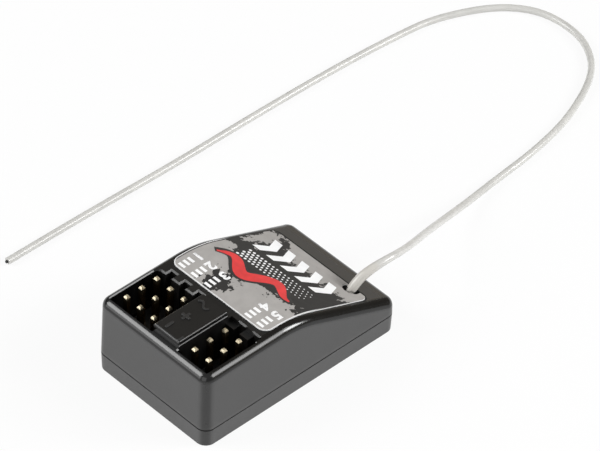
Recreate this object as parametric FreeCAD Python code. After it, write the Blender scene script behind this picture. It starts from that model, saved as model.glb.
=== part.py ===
import FreeCAD, Part
import math
import os
from FreeCAD import Vector

# Radio control receiver in a two-part moulded case, with five three-pin ports and one aerial wire.
# Millimetres. X runs from the port end to the aerial end, Y across the ports, Z up from the base.
# The origin is the centre of the case's underside.

# Ports: straight 2.54 mm headers, three pins in each port, two bays with a bridge between them
pin_pitch = 2.54
pin_size = 0.64
pin_tip = 0.32
pins_in_port = 3
left_ports = 3
right_ports = 2
bridge_columns = 2
plug_side_clearance = 0.16
plug_front_clearance = 0.38
plug_rear_clearance = 0.20
header_height = 2.54
header_notch = 0.30
mating_length = 6.15
pin_tail = 1.10

# Case: thin tray below, deep shell above
case_length = 33.4
wall = 1.2
corner_radius = 1.5
top_edge_radius = 1.35
base_chamfer = 0.1
shell_draft_angle = 1.0
tray_draft_angle = 1.5
tray_floor = 1.2
seam_height = 2.75
seam_chamfer = 0.13
roof = 1.05
pin_proud = 0.34
front_deck_length = 16.2
ridge_radius = 16.0
rear_headroom = 0.15

# Tongue of the tray inside the shell, with its catches
tongue_height = 0.9
tongue_thickness = 0.5
tongue_clearance = 0.1
catch_length = 3.0
catch_height = 0.4
catch_reach = 0.18
catch_clearance = 0.07
catch_spacing = 17.0

# Bays: keyed rear wall, and a raised bridge with a stepped edge
web = 0.85
key_depth = 1.0
key_width = 1.05
key_offset = 0.55
low_tooth_drop = 0.7
bay_corner_radius = 0.8
bay_chamfer = 0.2
bridge_rise = 1.0
bridge_front_setback = 0.3
bridge_rear_reach = 0.3
bridge_step_width = 0.12
bridge_step_drop = 0.55
bridge_edge_radius = 0.3
bridge_bevel = 0.09
bridge_wall = 0.8

# Label
label_thickness = 0.15
glue_line = 0.02
label_side_margin = 1.42
label_rear_margin = 3.8
label_corner_radius = 1.3
aerial_hole = 2.4

# Circuit board and the solder under its pins
board_thickness = 1.0
board_clearance = 0.15
board_corner_radius = 0.5
board_room_below = 1.4
board_ledge = 0.6
board_headroom = 0.2
pin_hole = 1.0
solder_tip_width = 0.95
solder_width = 1.36
solder_height = 0.6
solder_sides = 8

# Parts on the board: (distance behind the bays' wall, distance left of the middle)
regulator_place = (3.55, -6.0)
can_place = (3.6, -1.2)
gyro_place = (4.25, 6.0)
decoupling_row_place = (3.05, 2.6)
main_chip_place = (9.6, 5.8)
radio_chip_place = (9.2, -0.5)
crystal_place = (13.1, -0.5)
led_place = (13.6, 7.2)
filter_row_place = (13.5, 3.1)

# Parts on the board under the bridge, as far ahead of the bays' wall
inductor_place = (-3.6, -1.27)
pull_up_row_place = (-7.4, -1.27)

# Leadless chips
main_chip_size = 5.0
radio_chip_size = 4.0
gyro_size = 3.0
chip_height = 0.85
chip_standoff = 0.05
chip_bevel = 0.08
chip_pad_length = 0.41
chip_pad_reach = 0.06
chip_pad_width = 0.26
chip_pad_height = 0.2
chip_pad_pitch = 0.65
chip_dimple_width = 0.6
chip_dimple_depth = 0.05
chip_dimple_inset = 0.7
dimple_sides = 8

# Voltage regulator with three legs and a cooling tab
regulator_length = 4.5
regulator_width = 2.5
regulator_height = 1.5
regulator_bevel = 0.25
regulator_leg_width = 0.44
regulator_leg_length = 0.9
regulator_leg_pitch = 1.5
regulator_leg_thickness = 0.4
regulator_tab_width = 1.7
regulator_tab_length = 0.6
leg_root = 0.3

# Smoothing capacitor: aluminium can on a plastic foot
can_radius = 2.0
can_height = 5.4
can_foot_margin = 0.15
can_foot_height = 0.5
can_crimp_height = 0.75
can_crimp_depth = 0.18
can_crimp_half_width = 0.25
can_shoulder = 0.3
can_foot_bevel = 0.7

# Crystal: metal lid on a ceramic tray
crystal_length = 3.2
crystal_width = 2.5
crystal_tray_height = 0.4
crystal_lid_height = 0.35
crystal_lid_margin = 0.15
crystal_lid_radius = 0.3

# Filter inductor: drum core with two square flanges
inductor_size = 2.5
inductor_height = 1.8
inductor_flange = 0.45
inductor_corner = 0.35
inductor_waist_radius = 1.0

# Status light
led_length = 1.6
led_width = 0.8
led_base_height = 0.3

# Chip capacitors and resistors
chip_length = 1.6
chip_width = 0.8
capacitor_height = 0.8
resistor_height = 0.5
chip_cap_length = 0.32
chip_cap_growth = 0.03
row_pitch = 1.6

# Aerial: one 1 mm coaxial wire. Its route outside the case, chosen by hand, starts at the hole's mouth
aerial_diameter = 1.0
aerial_sides = 12
aerial_route = [
    (12.16, -6.34, 6.91), (13.18, -6.52, 8.16), (14.8, -7.0, 9.16), (17.0, -7.4, 9.7), (20.0, -7.2, 9.2),
    (23.7, -6.0, 7.8), (28.0, -4.1, 5.7), (33.0, -2.1, 3.3), (38.8, -0.4, 1.4), (45.8, 0.9, 0.52),
    (54.2, 1.6, 0.52), (62.4, 3.3, 0.52), (71.0, 7.2, 0.52), (74.7, 11.8, 0.52), (75.8, 16.6, 0.52),
    (74.9, 22.1, 0.52), (70.8, 26.6, 0.52), (63.2, 30.0, 0.52), (57.0, 30.8, 0.52), (46.0, 31.5, 0.52),
    (31.4, 31.7, 0.52), (15.6, 31.6, 0.52), (0.2, 32.0, 0.52), (-12.8, 32.0, 0.52),
]
bend_share = 0.45
lead_bend_radius = 3.0
lead_standoff = 0.1
lead_flat_length = 2.4
core_diameter = 0.32
core_length = 1.0
core_mound_width = 1.4
braid_mound_width = 1.1
braid_mound_setback = 0.6
mound_height = 0.6
mound_top_share = 0.4

# Sizes that follow from those above
columns = left_ports + bridge_columns + right_ports
case_width = columns * pin_pitch + 2 * (plug_side_clearance + wall)
half_length = case_length / 2
half_width = case_width / 2
board_bottom = tray_floor + board_room_below
board_top = board_bottom + board_thickness
pin_top = board_top + header_height + mating_length
deck_height = pin_top - pin_proud
rear_height = board_top + rear_headroom + roof
ridge_x = front_deck_length - half_length
slope = math.atan2(deck_height - rear_height, half_length - ridge_x)
first_pin_x = wall - half_length + plug_front_clearance + pin_pitch / 2
first_pin_y = (columns - 1) / 2 * pin_pitch
bay_front = wall - half_length
bay_rear = first_pin_x + (pins_in_port - 0.5) * pin_pitch + plug_rear_clearance
key_rear = bay_rear + key_depth
cavity_front = key_rear + web
left_bay_y = (first_pin_y - (left_ports - 0.5) * pin_pitch - plug_side_clearance, half_width - wall)
right_bay_y = (wall - half_width, (right_ports - 0.5) * pin_pitch - first_pin_y + plug_side_clearance)
bridge_y = (right_bay_y[1], left_bay_y[0])
wall_foot = board_top + board_headroom
inner_corner = corner_radius - wall
inner_x = half_length - wall
inner_y = half_width - wall
hole_axis = Vector(math.sin(slope), 0, math.cos(slope))
shell_draft = math.tan(math.radians(shell_draft_angle))
tray_draft = math.tan(math.radians(tray_draft_angle))
overshoot = wall
tiny = 1e-6


def column_y(column):
    """Y of a pin column, counted from the left long side."""
    return first_pin_y - column * pin_pitch


def port_columns():
    """Column of each port, left bay first."""
    return list(range(left_ports)) + [left_ports + bridge_columns + n for n in range(right_ports)]


def box(x0, x1, y0, y1, z0, z1):
    """Block between two values on each axis."""
    return Part.makeBox(x1 - x0, y1 - y0, z1 - z0, Vector(x0, y0, z0))


def rounded_outline(x0, x1, y0, y1, radius, z):
    """Closed rectangle with four equal round corners."""
    r = radius
    c = r * math.sqrt(0.5)
    edges = []
    corners = [(x1 - r, y0 + r, -45), (x1 - r, y1 - r, 45), (x0 + r, y1 - r, 135), (x0 + r, y0 + r, 225)]
    for n, (cx, cy, middle) in enumerate(corners):
        points = []
        for angle in (middle - 45, middle, middle + 45):
            a = math.radians(angle)
            points.append(Vector(cx + r * math.cos(a), cy + r * math.sin(a), z))
        if edges:
            edges.append(Part.LineSegment(end, points[0]).toShape())
        else:
            start = points[0]
        edges.append(Part.Arc(*points).toShape())
        end = points[2]
    edges.append(Part.LineSegment(end, start).toShape())
    return Part.Wire(edges)


def prism(x0, x1, y0, y1, radius, z0, z1):
    """Upright block with round vertical corners."""
    face = Part.Face(rounded_outline(x0, x1, y0, y1, radius, z0))
    return face.extrude(Vector(0, 0, z1 - z0))


def upright_edges(body):
    return [edge for edge in body.Edges if edge.BoundBox.ZLength > body.BoundBox.ZLength / 2]


def drafted_block(z0, z1, inset0, inset1):
    """Block on the case's plan with round corners, with one inset at its foot and another at its top."""
    x0, y0 = half_length - inset0, half_width - inset0
    x1, y1 = half_length - inset1, half_width - inset1
    body = Part.makeWedge(-x0, z0, -y0, -y1, -x1, x0, z1, y0, y1, x1)
    body.rotate(Vector(0, 0, 0), Vector(1, 0, 0), 90)
    return body.makeFillet(corner_radius, upright_edges(body))


def under_roof(drop, x0, x1, y0, y1, floor):
    """Everything under the case's top line lowered by drop: level deck, round ridge, straight slope."""
    reach = ridge_radius * math.tan(slope / 2)
    centre = Vector(ridge_x - reach, 0, deck_height - ridge_radius)
    radius = ridge_radius - drop

    def on_arc(angle):
        return centre + Vector(radius * math.sin(angle), 0, radius * math.cos(angle))

    ridge_start, ridge_middle, ridge_end = on_arc(0), on_arc(slope / 2), on_arc(slope)
    left, right = ridge_start.x - case_length, ridge_end.x + case_length
    foot = ridge_end.z - case_length * math.tan(slope)
    base = foot - case_length
    corners = [ridge_end, Vector(right, 0, foot), Vector(right, 0, base), Vector(left, 0, base),
               Vector(left, 0, ridge_start.z), ridge_start]
    edges = [Part.Arc(ridge_start, ridge_middle, ridge_end).toShape()]
    for a, b in zip(corners, corners[1:]):
        edges.append(Part.LineSegment(a, b).toShape())
    side = Part.Face(Part.Wire(edges))
    side.translate(Vector(0, y0, 0))
    body = side.extrude(Vector(0, y1 - y0, 0))
    return body.common(box(x0, x1, y0, y1, floor, deck_height + overshoot))


def roof_height(x, drop=0.0):
    """Height of the top line over a point of the slope."""
    reach = ridge_radius * math.tan(slope / 2)
    end_x = ridge_x - reach + (ridge_radius - drop) * math.sin(slope)
    end_z = deck_height - ridge_radius + (ridge_radius - drop) * math.cos(slope)
    return end_z - (x - end_x) * math.tan(slope)


def bay_outline(y_range, columns, corner, z):
    """Plan of a plug bay: square to the front, one keyway behind each column, one round rear corner."""
    y0, y1 = y_range
    plan = [(bay_rear, y1 - corner)]
    for column in columns:
        upper = column_y(column) - key_offset + key_width / 2
        lower = upper - key_width
        plan += [(bay_rear, upper), (key_rear, upper), (key_rear, lower), (bay_rear, lower)]
    plan += [(bay_rear, y0), (bay_front, y0), (bay_front, y1), (bay_rear - corner, y1)]
    points = [Vector(x, y, z) for x, y in plan]
    edges = [Part.LineSegment(a, b).toShape() for a, b in zip(points, points[1:])]
    if corner:
        inset = corner * (1 - math.sqrt(0.5))
        middle = Vector(bay_rear - inset, y1 - inset, z)
        edges.append(Part.Arc(points[-1], middle, points[0]).toShape())
    return Part.Wire(edges)


def bay_cutter(y_range, columns, corner):
    """The bay's well with a small chamfer round its mouth."""
    top = deck_height + bridge_rise + overshoot
    well = Part.Face(bay_outline(y_range, columns, corner, wall_foot)).extrude(Vector(0, 0, top - wall_foot))
    low = bay_outline(y_range, columns, corner, deck_height - bay_chamfer)
    high = low.makeOffset2D(2 * bay_chamfer, 2)
    high.translate(Vector(0, 0, 2 * bay_chamfer))
    return well.fuse(Part.makeLoft([low, high], True, True))


def bridge():
    """Raised bar between the bays, with a bevelled step along its right edge."""
    y0, y1 = bridge_y
    top = deck_height + bridge_rise
    x0, x1 = bay_front + bridge_front_setback, bay_rear + bridge_rear_reach
    bar = box(x0, x1, y0, y1, deck_height - roof, top)
    front_and_left = []
    for edge in bar.Edges:
        middle = edge.CenterOfMass
        outer = abs(middle.x - x0) < tiny or abs(middle.y - y1) < tiny
        if abs(middle.z - top) < tiny and outer:
            front_and_left.append(edge)
    bar = bar.makeFillet(bridge_edge_radius, front_and_left)
    ledge_y, ledge_top = y0 + bridge_step_width, top - bridge_step_drop
    bar = bar.cut(box(x0 - overshoot, x1 + overshoot, y0 - overshoot, ledge_y, ledge_top, top + overshoot))
    right = []
    for edge in bar.Edges:
        middle = edge.CenterOfMass
        for y, z in ((ledge_y, top), (y0, ledge_top)):
            if abs(middle.y - y) < tiny and abs(middle.z - z) < tiny:
                right.append(edge)
    return bar.makeChamfer(bridge_bevel, right)


def catch_positions():
    return [(x, side) for x in (-catch_spacing / 2, catch_spacing / 2) for side in (-1, 1)]


def catch_bar(x, side, grow):
    """Half-round bar on the tongue's outer face that holds the shell down."""
    face = inner_y + tongue_thickness
    radius = catch_height / 2
    z = seam_height + tongue_height / 2
    centre = face - radius + catch_reach
    bar = Part.makeCylinder(radius + grow, catch_length + 2 * grow,
                            Vector(x - catch_length / 2 - grow, side * centre, z), Vector(1, 0, 0))
    near, far = sorted((side * (face - tongue_clearance), side * (face + catch_height)))
    return bar.common(box(x - catch_length, x + catch_length, near, far, z - catch_height, z + catch_height))


def top_shell():
    """Deep cover: level deck over the ports, slope to the aerial end, hollow behind the bays."""
    rise = deck_height - seam_height
    body = drafted_block(seam_height, deck_height + overshoot, 0, (rise + overshoot) * shell_draft)
    body = body.common(under_roof(0, -case_length, case_length, -case_width, case_width, 0))
    rim = [edge for edge in body.Edges if is_rim(edge)]
    body = body.makeFillet(top_edge_radius, rim)
    foot = [edge for edge in body.Edges if edge.BoundBox.ZMax < seam_height + tiny]
    body = body.makeChamfer(seam_chamfer, foot)

    # room for the board and for the tray's tongue
    body = body.cut(prism(-inner_x, inner_x, -inner_y, inner_y, inner_corner, 0, wall_foot))
    t = tongue_thickness + tongue_clearance
    body = body.cut(prism(-inner_x - t, inner_x + t, -inner_y - t, inner_y + t, inner_corner + t, 0,
                          seam_height + tongue_height + tongue_clearance))

    # hollow behind the bays and under the bridge
    hollow = under_roof(roof, cavity_front, inner_x, -inner_y, inner_y, 0)
    body = body.cut(hollow.common(prism(-inner_x, inner_x, -inner_y, inner_y, inner_corner, 0, deck_height)))
    y_low, y_high = bridge_y[0] + bridge_wall, bridge_y[1] - bridge_wall
    body = body.cut(box(bay_front, cavity_front + overshoot, y_low, y_high, 0, deck_height - roof))

    # bays, with the right bay's teeth cut lower
    left, right = range(left_ports), range(left_ports + bridge_columns, columns)
    body = body.cut(bay_cutter(left_bay_y, left, bay_corner_radius))
    body = body.cut(bay_cutter(right_bay_y, right, 0))
    body = body.cut(box(bay_rear - overshoot, key_rear, right_bay_y[0], right_bay_y[1],
                        deck_height - low_tooth_drop, deck_height + overshoot))

    # raised bar between the bays, hollow below
    body = body.fuse(bridge())
    body = body.cut(box(bay_front + bridge_wall, bay_rear - bridge_wall, y_low, y_high, wall_foot,
                        deck_height + bridge_rise - roof))

    body = body.cut(aerial_hole_cutter())
    for x, side in catch_positions():
        body = body.cut(catch_bar(x, side, catch_clearance))
    return body.removeSplitter()


def aerial_hole_cutter():
    """Round hole square to the slope, centred where the wire's first run crosses the roof's surface."""
    start, after = Vector(*aerial_route[0]), Vector(*aerial_route[1])
    ahead = (after - start).normalize()
    on_roof = Vector(start.x, start.y, roof_height(start.x))
    depth = hole_axis.dot(start - on_roof)
    centre = start - ahead * (depth / hole_axis.dot(ahead))
    return Part.makeCylinder(aerial_hole / 2, 4 * roof, centre - hole_axis * 2 * roof, hole_axis)


def is_rim(edge):
    """True for the edges round the top, but not for the two creases beside the round ridge."""
    a, b = edge.Vertexes[0].Point, edge.Vertexes[-1].Point
    upright = abs(edge.tangentAt(edge.FirstParameter).z) > 0.9
    crease = abs(a.x - b.x) < tiny and abs(a.x) < inner_x
    return edge.BoundBox.ZMin > seam_height + wall and not upright and not crease


def bottom_shell():
    """Shallow tray with a tongue round its rim, four catches, and a ledge that carries the board."""
    body = drafted_block(0, seam_height, seam_height * tray_draft, 0)
    foot = [edge for edge in body.Edges if edge.BoundBox.ZMax < tiny]
    body = body.makeChamfer(base_chamfer, foot)
    head = [edge for edge in body.Edges if edge.BoundBox.ZMin > seam_height - tiny]
    body = body.makeChamfer(seam_chamfer, head)
    t = tongue_thickness
    body = body.fuse(prism(-inner_x - t, inner_x + t, -inner_y - t, inner_y + t, inner_corner + t,
                           board_bottom, seam_height + tongue_height))
    for x, side in catch_positions():
        body = body.fuse(catch_bar(x, side, 0))
    body = body.cut(prism(-inner_x, inner_x, -inner_y, inner_y, inner_corner, board_bottom, deck_height))
    x1, y1 = inner_x - board_ledge, inner_y - board_ledge
    return body.cut(prism(-x1, x1, -y1, y1, board_corner_radius, tray_floor, deck_height)).removeSplitter()


def label():
    """Printed film over the ridge and the slope, notched round the wire's hole."""
    x0, x1 = cavity_front, half_length - label_rear_margin
    y1 = half_width - label_side_margin
    film = under_roof(-glue_line - label_thickness, x0, x1, -y1, y1, 0)
    below = under_roof(-glue_line, x0 - overshoot, x1 + overshoot, -half_width, half_width, -overshoot)
    film = film.cut(below)
    film = film.common(prism(x0, x1, -y1, y1, label_corner_radius, 0, deck_height + overshoot))
    return film.cut(aerial_hole_cutter())


def pin_positions(column):
    return [(first_pin_x + row * pin_pitch, column_y(column)) for row in range(pins_in_port)]


def flat_sided(x, y, sides, levels):
    """Upright solid with flat sides through regular polygons, each given as a height and a width."""
    rings = []
    for z, width in levels:
        radius = width / 2 / math.cos(math.pi / sides)
        angles = [(n + 0.5) * 2 * math.pi / sides for n in range(sides)]
        rings.append([Vector(x + radius * math.cos(a), y + radius * math.sin(a), z) for a in angles])
    outlines = [rings[0], rings[-1]]
    for low, high in zip(rings, rings[1:]):
        for n in range(sides):
            outlines.append([low[n - 1], low[n], high[n], high[n - 1]])
    faces = [Part.Face(Part.makePolygon(outline + outline[:1])) for outline in outlines]
    return Part.Solid(Part.Shell(faces))


def circuit_board():
    """Board that fills the case, with a hole for each pin."""
    x1, y1 = inner_x - board_clearance, inner_y - board_clearance
    board = prism(-x1, x1, -y1, y1, board_corner_radius, board_bottom, board_top)
    levels = [(board_bottom - overshoot, pin_hole), (board_top + overshoot, pin_hole)]
    for column in port_columns():
        for x, y in pin_positions(column):
            board = board.cut(flat_sided(x, y, solder_sides, levels))
    return board


def pin(x, y):
    """Square post with both ends drawn to a blunt point."""
    low, high = board_bottom - pin_tail, pin_top
    return flat_sided(x, y, 4, [(low, pin_size / 2), (low + pin_tip, pin_size),
                                (high - pin_tip, pin_size), (high, pin_size / 2)])


def pin_hole_cutter(x, y):
    """Square hole that a pin fills, from under the board to above the header."""
    return flat_sided(x, y, 4, [(board_bottom - pin_tail, pin_size),
                                (board_top + header_height + overshoot, pin_size)])


def port_pins(column):
    """The three pins of one port."""
    return Part.makeCompound([pin(x, y) for x, y in pin_positions(column)])


def header_base(first, count):
    """Block that holds the pins of one bay, notched where the strip could be broken off."""
    x0, x1 = first_pin_x - pin_pitch / 2, first_pin_x + (pins_in_port - 0.5) * pin_pitch
    y1, y0 = column_y(first) + pin_pitch / 2, column_y(first + count - 1) - pin_pitch / 2
    block = box(x0, x1, y0, y1, board_top, board_top + header_height)

    def groove(x, y):
        n = header_notch
        corners = [Vector(x + a * n, y + b * n, board_top) for a, b in ((-1, 0), (0, -1), (1, 0), (0, 1))]
        return Part.Face(Part.makePolygon(corners + corners[:1])).extrude(Vector(0, 0, header_height))

    for step in range(count + 1):
        for x in (x0, x1):
            block = block.cut(groove(x, y1 - step * pin_pitch))
    for step in range(1, pins_in_port):
        for y in (y0, y1):
            block = block.cut(groove(x0 + step * pin_pitch, y))
    for column in range(first, first + count):
        for x, y in pin_positions(column):
            block = block.cut(pin_hole_cutter(x, y))
    return block


def pin_solder():
    """Cone of solder round each pin's tail, under the board."""
    joints = []
    for column in port_columns():
        for x, y in pin_positions(column):
            cone = flat_sided(x, y, solder_sides, [(board_bottom - solder_height, solder_tip_width),
                                                   (board_bottom, solder_width)])
            joints.append(cone.cut(pin_hole_cutter(x, y)))
    return Part.makeCompound(joints)


def behind_bays(place):
    """Point on the board for a part, all of which are set out from the bays' wall."""
    return cavity_front + place[0], place[1]


def on_board(x, y, length, width, z0, z1):
    """Block centred on a point of the board, between two heights above it."""
    return box(x - length / 2, x + length / 2, y - width / 2, y + width / 2, board_top + z0, board_top + z1)


def bevel_top(body, height, size):
    edges = [edge for edge in body.Edges if edge.BoundBox.ZMin > board_top + height - tiny]
    return body.makeChamfer(size, edges)


def flat_chip(point, size):
    """Square chip without legs: bevelled body, a dimple at pin one and a row of pads on each side."""
    x, y = point
    body = bevel_top(on_board(x, y, size, size, chip_standoff, chip_height), chip_height, chip_bevel)
    inset = size / 2 - chip_dimple_inset
    top = board_top + chip_height
    levels = [(top - chip_dimple_depth, chip_dimple_width), (top + overshoot, chip_dimple_width)]
    body = body.cut(flat_sided(x - inset, y + inset, dimple_sides, levels))
    pads = int((size - 2 * chip_pad_length) / chip_pad_pitch)
    centre = size / 2 + chip_pad_reach - chip_pad_length / 2
    feet = []
    for n in range(pads):
        along = (n - (pads - 1) / 2) * chip_pad_pitch
        for side in (-1, 1):
            feet.append(on_board(x + side * centre, y + along, chip_pad_length, chip_pad_width,
                                 0, chip_pad_height))
            feet.append(on_board(x + along, y + side * centre, chip_pad_width, chip_pad_length,
                                 0, chip_pad_height))
    return body.fuse(feet)


def voltage_regulator():
    """Three legs towards the ports and a cooling tab on the other side."""
    x, y = behind_bays(regulator_place)
    body = on_board(x, y, regulator_width, regulator_length, chip_standoff, regulator_height)
    body = bevel_top(body, regulator_height, regulator_bevel)
    leg = regulator_leg_length + leg_root
    tab = regulator_tab_length + leg_root
    metal = [on_board(x + (regulator_width + tab) / 2 - leg_root, y, tab, regulator_tab_width,
                      0, regulator_leg_thickness)]
    for n in (-1, 0, 1):
        metal.append(on_board(x - (regulator_width + leg) / 2 + leg_root, y + n * regulator_leg_pitch,
                              leg, regulator_leg_width, 0, regulator_leg_thickness))
    return body.fuse(metal)


def smoothing_capacitor():
    """Aluminium can with a crimp above its square plastic foot, which has two bevelled corners."""
    x, y = behind_bays(can_place)
    half = can_radius + can_foot_margin
    foot = box(x - half, x + half, y - half, y + half, board_top, board_top + can_foot_height)
    keyed = [edge for edge in upright_edges(foot) if edge.CenterOfMass.x > x]
    foot = foot.makeChamfer(can_foot_bevel, keyed)
    crimp = can_foot_height + can_crimp_height
    profile = [(0, can_foot_height), (can_radius, can_foot_height),
               (can_radius, crimp - can_crimp_half_width), (can_radius - can_crimp_depth, crimp),
               (can_radius, crimp + can_crimp_half_width), (can_radius, can_height - can_shoulder),
               (can_radius - can_shoulder, can_height), (0, can_height)]
    points = [Vector(x + r, y, board_top + h) for r, h in profile]
    can = Part.Face(Part.makePolygon(points + points[:1])).revolve(Vector(x, y, 0), Vector(0, 0, 1), 360)
    return foot.fuse(can)


def crystal():
    """Low metal lid on a ceramic tray."""
    x, y = behind_bays(crystal_place)
    tray = on_board(x, y, crystal_length, crystal_width, 0, crystal_tray_height)
    a, b = crystal_length / 2 - crystal_lid_margin, crystal_width / 2 - crystal_lid_margin
    z = board_top + crystal_tray_height
    return tray.fuse(prism(x - a, x + a, y - b, y + b, crystal_lid_radius, z, z + crystal_lid_height))


def filter_inductor():
    """Drum core: a waist between two square flanges."""
    x, y = behind_bays(inductor_place)
    h = inductor_size / 2
    flanges = []
    for z in (board_top, board_top + inductor_height - inductor_flange):
        flange = box(x - h, x + h, y - h, y + h, z, z + inductor_flange)
        flanges.append(flange.makeChamfer(inductor_corner, upright_edges(flange)))
    waist = Part.makeCylinder(inductor_waist_radius, inductor_height - inductor_flange,
                              Vector(x, y, board_top + inductor_flange / 2))
    return waist.fuse(flanges)


def status_led():
    """Flat base with a half-round lens along it."""
    x, y = behind_bays(led_place)
    base = on_board(x, y, led_length, led_width, 0, led_base_height)
    radius = led_width / 2
    foot = Vector(x - radius, y, board_top + led_base_height)
    lens = Part.makeCylinder(radius, led_width, foot, Vector(1, 0, 0))
    upper_half = on_board(x, y, led_width, led_width, led_base_height, led_base_height + radius)
    return base.fuse(lens.common(upper_half))


def end_capped_block(x, y, height, turned):
    """Chip resistor or capacitor: a body between two slightly larger metal ends."""
    g = chip_cap_growth
    body = box(-chip_length / 2, chip_length / 2, -chip_width / 2, chip_width / 2, 0, height)
    for side in (-1, 1):
        a, b = sorted((side * (chip_length / 2 + g), side * (chip_length / 2 - chip_cap_length)))
        body = body.fuse(box(a, b, -chip_width / 2 - g, chip_width / 2 + g, 0, height + g))
    if turned:
        body.rotate(Vector(0, 0, 0), Vector(0, 0, 1), 90)
    body.translate(Vector(x, y, board_top))
    return body


def chip_row(point, count, height, turned):
    """Row of chip parts side by side, centred on a point; turned ones lie across the board."""
    row = []
    for n in range(count):
        shift = (n - (count - 1) / 2) * row_pitch
        x, y = (point[0] + shift, point[1]) if turned else (point[0], point[1] + shift)
        row.append(end_capped_block(x, y, height, turned))
    return row


def ceramic_capacitors():
    row = chip_row(behind_bays(decoupling_row_place), 2, capacitor_height, True)
    return Part.makeCompound(row + chip_row(behind_bays(filter_row_place), 2, capacitor_height, False))


def resistors():
    return Part.makeCompound(chip_row(behind_bays(pull_up_row_place), 3, resistor_height, True))


def bend(before, corner, after, radius=None):
    """Arc between two runs: start, centre, axis, angle in degrees, radius and end."""
    back, ahead = before - corner, after - corner
    half_turn = (math.pi - back.getAngle(ahead)) / 2
    if radius is None:
        radius = bend_share * min(back.Length, ahead.Length) / math.tan(half_turn)
    cut = radius * math.tan(half_turn)
    back.normalize()
    ahead.normalize()
    axis = ahead.cross(back).normalize()
    centre = corner + (back + ahead).normalize() * (radius / math.cos(half_turn))
    return corner + back * cut, centre, axis, math.degrees(2 * half_turn), radius, corner + ahead * cut


def tube(points, diameter, radius=None):
    """Many-sided tube along straight runs and tangent arcs: one solid, its path's length and its radii.

    Its section has the area of a round wire's. It is carried along the path without a twist.
    """
    turn = 2 * math.pi / aerial_sides
    corner_radius = diameter / 2 * math.sqrt(turn / math.sin(turn))
    pieces, radii = [], []
    length = 0
    here = points[0]
    side = (points[1] - here).cross(Vector(0, 0, 1)).normalize()

    def section(point, direction):
        across = Vector(direction).normalize().cross(side)
        ring = []
        for n in range(aerial_sides):
            a = (n + 0.5) * turn
            ring.append(point + (side * math.cos(a) + across * math.sin(a)) * corner_radius)
        return Part.Face(Part.makePolygon(ring + ring[:1]))

    for before, corner, after in zip(points, points[1:], points[2:]):
        start, centre, axis, angle, arc_radius, end = bend(before, corner, after, radius)
        run = start - here
        pieces.append(section(here, run).extrude(run))
        pieces.append(section(start, run).revolve(centre, axis, angle))
        side = FreeCAD.Rotation(axis, angle).multVec(side)
        radii.append(arc_radius)
        length += run.Length + math.radians(angle) * arc_radius
        here = end
    run = points[-1] - here
    pieces.append(section(here, run).extrude(run))
    return pieces[0].fuse(pieces[1:]), length + run.Length, radii


def aerial_wire():
    solid, length, radii = tube([Vector(*point) for point in aerial_route], aerial_diameter)
    expected = math.pi * aerial_diameter ** 2 / 4 * length
    print("aerial wire: length %.2f, volume / (section x length) %.5f" % (length, solid.Volume / expected))
    print("aerial wire radii:", " ".join("%.1f" % radius for radius in radii))
    return solid


def lead_path():
    """The wire inside the case: flat on the board, then straight up and out along the route's first run."""
    mouth = Vector(*aerial_route[0])
    ahead = (Vector(*aerial_route[1]) - mouth).normalize()
    rise = mouth.z - board_top - lead_standoff - aerial_diameter / 2
    corner = mouth - ahead * (rise / ahead.z)
    inward = Vector(-ahead.x, -ahead.y, 0).normalize()
    return [corner + inward * lead_flat_length, corner, mouth]


def aerial_lead():
    """The wire's inner end with its bare core; the outer wire carries it on, face to face."""
    points = lead_path()
    solid = tube(points, aerial_diameter, lead_bend_radius)[0]
    inward = (points[0] - points[1]).normalize()
    start = points[0] - inward * core_diameter
    return solid.fuse(Part.makeCylinder(core_diameter / 2, core_length + core_diameter, start, inward))


def aerial_solder():
    """Two solder mounds on the board: one on the bare core's end, one against the wire's braid."""
    start, corner, mouth = lead_path()
    inward = (start - corner).normalize()
    across = Vector(-inward.y, inward.x, 0)
    lead = aerial_lead()
    core_end = start + inward * core_length
    braid = start - inward * braid_mound_setback + across * (aerial_diameter + braid_mound_width / 2) / 2
    mounds = []
    for point, width in ((core_end, core_mound_width), (braid, braid_mound_width)):
        levels = [(board_top, width), (board_top + mound_height, width * mound_top_share)]
        mounds.append(flat_sided(point.x, point.y, solder_sides, levels).cut(lead))
    return Part.makeCompound(mounds)


def parts():
    nodes = {
        "top_shell": top_shell(),
        "bottom_shell": bottom_shell(),
        "label": label(),
        "circuit_board": circuit_board(),
        "header_base_left": header_base(0, left_ports),
        "header_base_right": header_base(left_ports + bridge_columns, right_ports),
        "pin_solder": pin_solder(),
        "main_chip": flat_chip(behind_bays(main_chip_place), main_chip_size),
        "radio_chip": flat_chip(behind_bays(radio_chip_place), radio_chip_size),
        "gyro_sensor": flat_chip(behind_bays(gyro_place), gyro_size),
        "crystal": crystal(),
        "voltage_regulator": voltage_regulator(),
        "smoothing_capacitor": smoothing_capacitor(),
        "filter_inductor": filter_inductor(),
        "status_led": status_led(),
        "ceramic_capacitors": ceramic_capacitors(),
        "resistors": resistors(),
        "aerial_lead": aerial_lead(),
        "aerial_solder": aerial_solder(),
        "aerial_wire": aerial_wire(),
    }
    for number, column in enumerate(port_columns(), 1):
        nodes["port_%d_pins" % number] = port_pins(column)
    return nodes


def main():
    os.makedirs("parts", exist_ok=True)
    for name, shape in parts().items():
        shape.exportStep(os.path.join("parts", name + ".step"))
        b = shape.BoundBox
        print("%-20s %s, %2d solids, volume %8.2f, x %.2f %.2f  y %.2f %.2f  z %.2f %.2f" %
              (name, "valid" if shape.isValid() else "NOT VALID", len(shape.Solids), shape.Volume,
               b.XMin, b.XMax, b.YMin, b.YMax, b.ZMin, b.ZMax))


main()
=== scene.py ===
import math
import bmesh
import bpy
from mathutils import Matrix, Quaternion, Vector


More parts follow.
